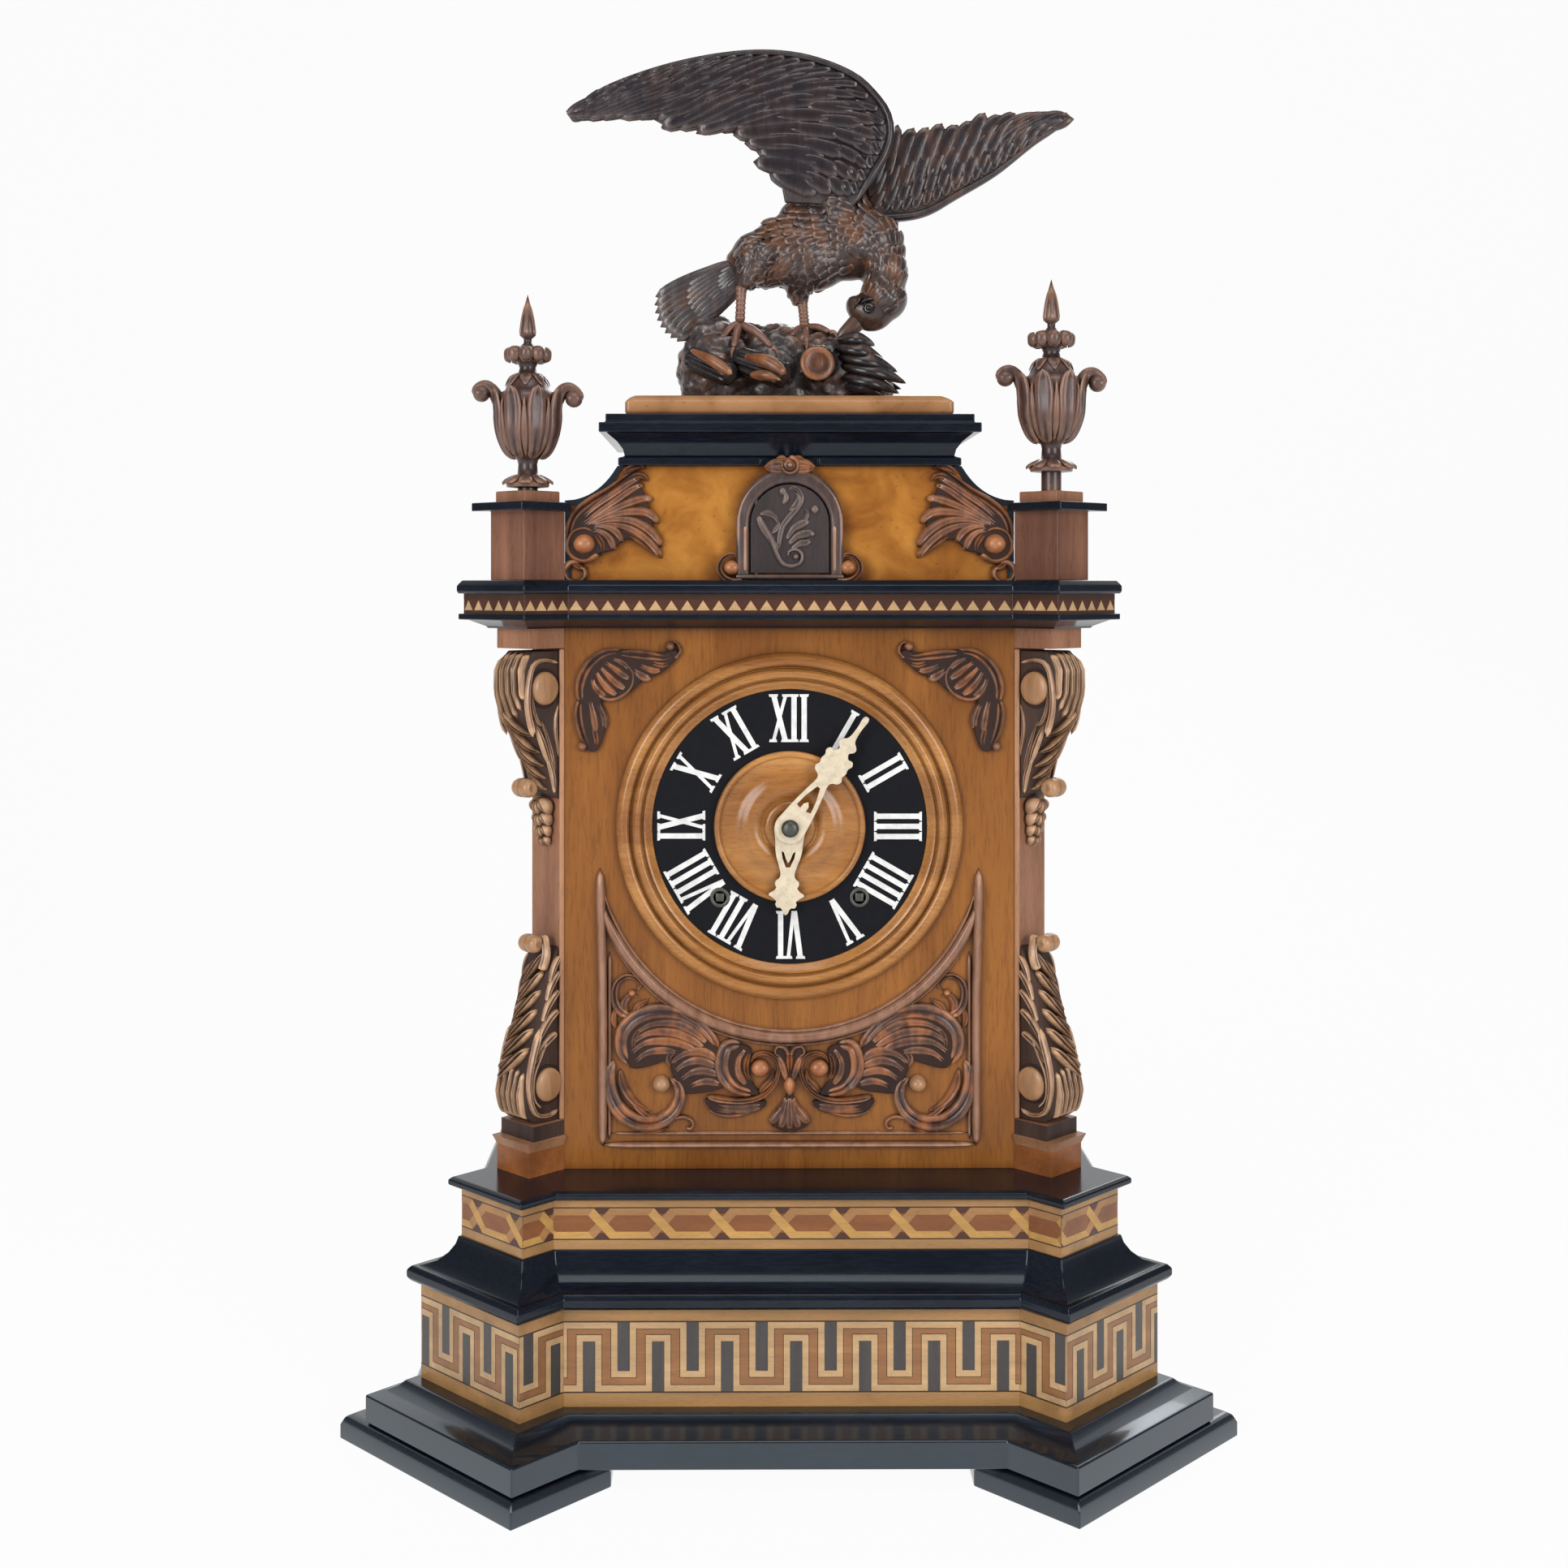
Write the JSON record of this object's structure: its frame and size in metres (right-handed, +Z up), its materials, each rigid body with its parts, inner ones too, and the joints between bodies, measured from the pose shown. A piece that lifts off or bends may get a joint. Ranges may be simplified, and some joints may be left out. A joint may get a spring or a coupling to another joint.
{
  "type": "cuckoo mantel clock",
  "caption": "Carved and inlaid cuckoo mantel clock with corner piers, turned dial, pierced hands, cuckoo door, urn finials and an eagle on a rock.",
  "frame": {"origin": "middle of the clock's footprint, on the surface that it stands on", "axes": "+Z up, the dial faces -Y, +X to the right of a person who faces the dial"},
  "size_m": [0.498, 0.28, 0.7791],
  "materials": {
    "ebonised_black": "polished black over turned and planed wood",
    "panel_veneer": "polished golden brown veneer",
    "yellow_burl": "polished yellow burr veneer",
    "pier_wood": "waxed reddish brown wood",
    "carved_walnut": "waxed dark carved wood with lighter high spots",
    "inlay": "polished inlaid veneers in light and dark woods",
    "plain_wood": "plain planed wood",
    "brass": "lightly polished brass",
    "steel": "plain steel",
    "bone": "ivory coloured, fine sanded"
  },
  "bodies": {
    "case": {"foot_left": "ebonised_black", "foot_right": "ebonised_black", "plinth_moulding": "ebonised_black", "key_frieze": "inlay", "bead_cove_moulding": "ebonised_black", "chain_frieze": "inlay", "base_cap": "ebonised_black", "front_panel": "panel_veneer", "case_carcass": "plain_wood", "pier_left": "pier_wood", "pier_right": "pier_wood", "console_upper_left": "carved_walnut", "console_upper_right": "carved_walnut", "console_lower_left": "carved_walnut", "console_lower_right": "carved_walnut", "cornice_lower": "ebonised_black", "cornice_inlay_band": "inlay", "cornice_top": "ebonised_black", "attic_box": "yellow_burl", "attic_leaf_left": "carved_walnut", "attic_leaf_right": "carved_walnut", "cuckoo_door_frame": "carved_walnut", "upper_pier_left": "pier_wood", "upper_pier_right": "pier_wood", "urn_left": "carved_walnut", "urn_right": "carved_walnut", "top_moulding": "ebonised_black", "top_plate": "yellow_burl", "eagle_on_rock": "carved_walnut", "eagle_wing_left": "carved_walnut", "eagle_wing_right": "carved_walnut", "dial_bezel": "panel_veneer", "chapter_plate": "ebonised_black", "dial_centre": "panel_veneer", "movement_front_plate": "brass", "movement_back_plate": "brass", "bellows_left": "plain_wood", "bellows_right": "plain_wood", "gong": "steel", "spandrel_left": "carved_walnut", "spandrel_right": "carved_walnut", "lower_carved_panel": "carved_walnut"},
    "minute_hand_arbor": {"centre_wheel": "brass", "minute_hand": "bone"},
    "hour_hand_pipe": {"hour_wheel": "brass", "hour_hand": "bone"},
    "minute_wheel": {"minute_wheel": "brass"},
    "third_wheel": {"third_wheel": "brass"},
    "escape_wheel": {"escape_wheel": "brass"},
    "anchor": {"anchor": "steel"},
    "pendulum": {"pendulum": "brass"},
    "going_barrel": {"going_barrel": "brass"},
    "going_winding_arbor": {"going_winding_arbor": "steel"},
    "strike_barrel": {"strike_barrel": "brass"},
    "cuckoo": {"cuckoo": "carved_walnut"},
    "cuckoo_door": {"cuckoo_door": "carved_walnut"},
    "bellows_top_left": {"bellows_top_left": "plain_wood"},
    "bellows_top_right": {"bellows_top_right": "plain_wood"},
    "gong_hammer": {"gong_hammer": "steel"},
    "rear_door": {"rear_door": "plain_wood"}
  },
  "joints": [
    {"name": "minute_hand_turn", "type": "hinge", "parent": "case", "child": "minute_hand_arbor", "pos_m": [0, 0, 0.339], "axis": [0, 1, 0], "continuous": true},
    {"name": "hour_hand_turn", "type": "hinge", "parent": "case", "child": "hour_hand_pipe", "pos_m": [0, 0, 0.339], "axis": [0, 1, 0], "continuous": true},
    {"name": "minute_wheel_turn", "type": "hinge", "parent": "case", "child": "minute_wheel", "pos_m": [0.01697, 0, 0.32203], "axis": [0, 1, 0], "continuous": true},
    {"name": "third_wheel_turn", "type": "hinge", "parent": "case", "child": "third_wheel", "pos_m": [-0.02001, 0, 0.35972], "axis": [0, 1, 0], "continuous": true},
    {"name": "escape_wheel_turn", "type": "hinge", "parent": "case", "child": "escape_wheel", "pos_m": [0, 0, 0.37694], "axis": [0, 1, 0], "continuous": true},
    {"name": "going_barrel_turn", "type": "hinge", "parent": "case", "child": "going_barrel", "pos_m": [0.0385, 0, 0.2998], "axis": [0, 1, 0], "continuous": true},
    {"name": "going_winding", "type": "hinge", "parent": "case", "child": "going_winding_arbor", "pos_m": [0.0385, 0, 0.2998], "axis": [0, 1, 0], "continuous": true},
    {"name": "strike_winding", "type": "hinge", "parent": "case", "child": "strike_barrel", "pos_m": [-0.0385, 0, 0.2998], "axis": [0, 1, 0], "continuous": true},
    {"name": "pendulum_swing", "type": "hinge", "parent": "case", "child": "pendulum", "pos_m": [0, 0, 0.39794], "axis": [0, 1, 0], "range_deg": [-4, 4]},
    {"name": "anchor_rock", "type": "hinge", "parent": "case", "child": "anchor", "pos_m": [0, 0, 0.39794], "axis": [0, 1, 0], "range_deg": [-4, 4]},
    {"name": "cuckoo_slide", "type": "slide", "parent": "case", "child": "cuckoo", "axis": [0, -1, 0], "range_m": [0, 0.045]},
    {"name": "cuckoo_door_swing", "type": "hinge", "parent": "case", "child": "cuckoo_door", "pos_m": [-0.0185, -0.0415, 0.5], "axis": [0, 0, -1], "range_deg": [0, 95]},
    {"name": "bellows_left_lift", "type": "hinge", "parent": "case", "child": "bellows_top_left", "pos_m": [-0.118, 0.115, 0.4093], "axis": [-1, 0, 0], "range_deg": [0, 12]},
    {"name": "bellows_right_lift", "type": "hinge", "parent": "case", "child": "bellows_top_right", "pos_m": [0.118, 0.115, 0.4093], "axis": [-1, 0, 0], "range_deg": [0, 12]},
    {"name": "gong_hammer_lift", "type": "hinge", "parent": "case", "child": "gong_hammer", "pos_m": [0.052, 0, 0.262], "axis": [0, -1, 0], "range_deg": [0, 15]},
    {"name": "rear_door_swing", "type": "hinge", "parent": "case", "child": "rear_door", "pos_m": [0.0887, 0.131, 0.3], "axis": [0, 0, -1], "range_deg": [0, 105]}
  ],
  "couplings": [
    {"joint": "hour_hand_turn", "follows": "minute_hand_turn", "ratio": 0.083333},
    {"joint": "minute_wheel_turn", "follows": "minute_hand_turn", "ratio": -0.33333},
    {"joint": "third_wheel_turn", "follows": "minute_hand_turn", "ratio": -5},
    {"joint": "escape_wheel_turn", "follows": "minute_hand_turn", "ratio": 22.5},
    {"joint": "going_barrel_turn", "follows": "minute_hand_turn", "ratio": -0.16667},
    {"joint": "anchor_rock", "follows": "pendulum_swing", "ratio": 1},
    {"joint": "cuckoo_door_swing", "follows": "cuckoo_slide", "rad_per_m": 36.458}
  ]
}
